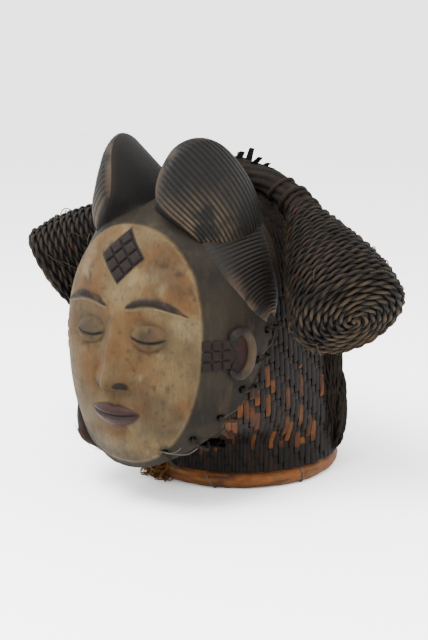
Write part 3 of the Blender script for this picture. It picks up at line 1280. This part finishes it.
def lashing(seat, hand, index):
    in_wood, in_hood, out = seat
    bundle = Bundle()
    base = [in_wood - 5 * out, in_wood, None, None, None, in_hood, in_hood - 6 * out]
    for place, share, height in ((2, 0.06, 2.8), (3, 0.5, 3.6), (4, 0.94, 2.8)):
        base[place] = in_wood + (in_hood - in_wood) * share + out * height
    for strand in range(3):
        shift = np.cross(unit(in_hood - in_wood), out) * (strand - 1) * 1.0
        path = curve([knot + shift for knot in base], np.linspace(0, 1, LASH_STEPS))
        t = np.linspace(0, 1, LASH_STEPS)
        path = path + out * (0.35 * np.sin(9 * t + strand * 2 + index))[:, None]
        tone = mix(CORD, colour(48, 42, 36), cloud(path, 4, 130 + strand))
        bundle.strand(path * (hand, 1, 1), 0.5, 6, out * (hand, 1, 1), tone, 0.7, strand)
    return bundle


def slack_line(start, end, sag, bend, count=30):
    t = np.linspace(0, 1, count)[:, None]
    middle = 4 * t * (1 - t)
    return start + (end - start) * t + np.asarray(sag) * middle + np.asarray(bend) * np.sin(2 * np.pi * t)


def ties():
    bundle = Bundle()
    grey = colour(170, 166, 160)
    for angle, tilt in ((-73, 3.5), (-18, 0.8)):
        spin = np.linspace(0, 2 * np.pi, 50)
        leaning = angle + tilt * np.cos(spin)
        path = hoop_point(leaning, spin, 0.4)
        out = hoop_point(leaning, spin, 1.4) - path
        path[:, 2] = np.maximum(path[:, 2], 0.7)
        bundle.strand(path, 0.6, 6, unit(out + 1e-6), grey, 0.45, angle)
    holes = [seat[0] + seat[2] * 1.2 for seat in SEATS]
    lines = [
        (holes[5], holes[4] + (4, 2, -6), (3, -2, -3), (1, 0, 1), 0.4),
        (holes[5] + (-6, -2, 1), holes[5] + (14, 6, 6), (2, -3, -2), (0, 0, 1), 0.35),
        (holes[4], holes[3] + (2, 4, -8), (4, -1, -2), (1, 0, 2), 0.5),
        (holes[3], holes[2] + (1, 3, -5), (5, 0, -1), (0, 1, 1), 0.45),
        (holes[2], holes[1] + (1, 4, -4), (4, 0, 1), (1, 0, 0), 0.45),
        (holes[1], holes[0] + (1, 8, -3), (4, 0, 0), (0, 0, 2), 0.45),
    ]
    for k, (start, end, sag, bend, width) in enumerate(lines):
        tone = colour(160, 156, 148)
        if k >= 2:
            tone = mix(colour(120, 110, 92), colour(60, 52, 44), dice.uniform(0, 1))
        line = slack_line(start, end, sag, bend)
        bundle.strand(line, width, 5, np.array([0.8, -0.5, 0.2]), tone, 0.55, width)
    return bundle


# Pieces

wood = finish_of("carved_wood", patchy=(0.5, 0.24), grainy=(4.5, 0.22), relief=(7.0, 0.6), gloss=0.11)
dark_wood = finish_of(
    "carved_wood_dark", patchy=(0.6, 0.25), grainy=(6.0, 0.18), relief=(9.0, 0.35), gloss=0.12
)
cane = finish_of("plaited_cane", patchy=(0.7, 0.3), grainy=(3.2, 0.3), relief=(3.0, 0.5), gloss=0.08)
wicker = finish_of("wicker", patchy=(0.8, 0.25), grainy=(2.4, 0.3), relief=(2.4, 0.45), gloss=0.08)
bark = finish_of("bark", patchy=(0.6, 0.25), grainy=(3.0, 0.3), relief=(3.2, 0.9), gloss=0.15)
fibre = finish_of("fibre", patchy=(1.0, 0.25), grainy=(3.0, 0.3), relief=(3.0, 0.5), gloss=0.07)

piece("head", head_shell(), wood, "carved_mask")
piece("coiffure", crests(), dark_wood, "carved_mask")
piece("side_braids", braids(), dark_wood, "carved_mask")
piece("scales_and_ears", ornaments(), dark_wood, "carved_mask")
piece("hood_plait", woven_hood(), cane, "woven_hood")
piece("hood_lining", hood_lining(), cane, "woven_hood")
piece("hood_fibres", hood_fibres(), fibre, "woven_hood")
for hand, label in ((1, "left"), (-1, "right")):
    weave = lobe_weave(hand)
    neck(hand, weave)
    piece(f"lobe_weave_{label}", weave, wicker, f"wicker_lobe_{label}")
piece("binding", crown_binding(), fibre, "crown_binding")
piece("hoop_bark", base_hoop(), bark, "base_hoop")
piece("jaw_bark", jaw_roll(), bark, "jaw_bark_roll")
for i, seat in enumerate(SEATS):
    piece(f"lash_left_{i + 1}", lashing(seat, 1, i), fibre, f"lashing_left_{i + 1}")
    if f"lashing_right_{i + 1}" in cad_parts:
        piece(f"lash_right_{i + 1}", lashing(seat, -1, i), fibre, f"lashing_right_{i + 1}")
piece("wire_ties", ties(), fibre, "base_hoop")

# Floor, light and camera

bpy.ops.mesh.primitive_plane_add(size=6)
floor = bpy.context.object
floor.name = "floor"
floor_material = bpy.data.materials.new("floor")
floor_material.use_nodes = True
floor_shader = floor_material.node_tree.nodes["Principled BSDF"]
floor_shader.inputs["Base Color"].default_value = (0.94, 0.94, 0.94, 1)
floor_shader.inputs["Roughness"].default_value = 0.9
floor.data.materials.append(floor_material)

world = bpy.data.worlds.new("studio")
world.use_nodes = True
world.node_tree.nodes["Background"].inputs["Color"].default_value = (1, 1, 1, 1)
world.node_tree.nodes["Background"].inputs["Strength"].default_value = 3.0
bpy.context.scene.world = world

LIGHT_AIM = Vector((0, 0.05, 0.17))


def away(a, e):
    return Vector((math.sin(a) * math.cos(e), -math.cos(a) * math.cos(e), math.sin(e)))


def soft_light(name, azimuth, elevation, distance, size, power):
    a, e = math.radians(azimuth), math.radians(elevation)
    back = away(a, e)
    light = bpy.data.lights.new(name, "AREA")
    light.size = size
    light.energy = power
    item = bpy.data.objects.new(name, light)
    item.location = LIGHT_AIM + back * distance
    item.rotation_euler = (-back).to_track_quat("-Z", "Y").to_euler()
    bpy.context.scene.collection.objects.link(item)


soft_light("key", 0, 55, 1.7, 0.9, 95)
soft_light("fill", 80, 30, 1.9, 1.2, 30)
soft_light("left", -60, 30, 1.9, 1.0, 22)

CAMERA_AZIMUTH = 35
CAMERA_ELEVATION = 12
CAMERA_DISTANCE = 1.3
CAMERA_AIM_HEIGHT = 0.165

lens = bpy.data.cameras.new("camera")
lens.lens = 73
lens.sensor_width = 36
lens.shift_x = -0.0422
lens.shift_y = -0.03125
camera = bpy.data.objects.new("camera", lens)
back = away(math.radians(CAMERA_AZIMUTH), math.radians(CAMERA_ELEVATION))
camera.location = Vector((0, FRAME_SHIFT / 1000, CAMERA_AIM_HEIGHT)) + back * CAMERA_DISTANCE
camera.rotation_euler = (-back).to_track_quat("-Z", "Y").to_euler()
bpy.context.scene.collection.objects.link(camera)
bpy.context.scene.camera = camera
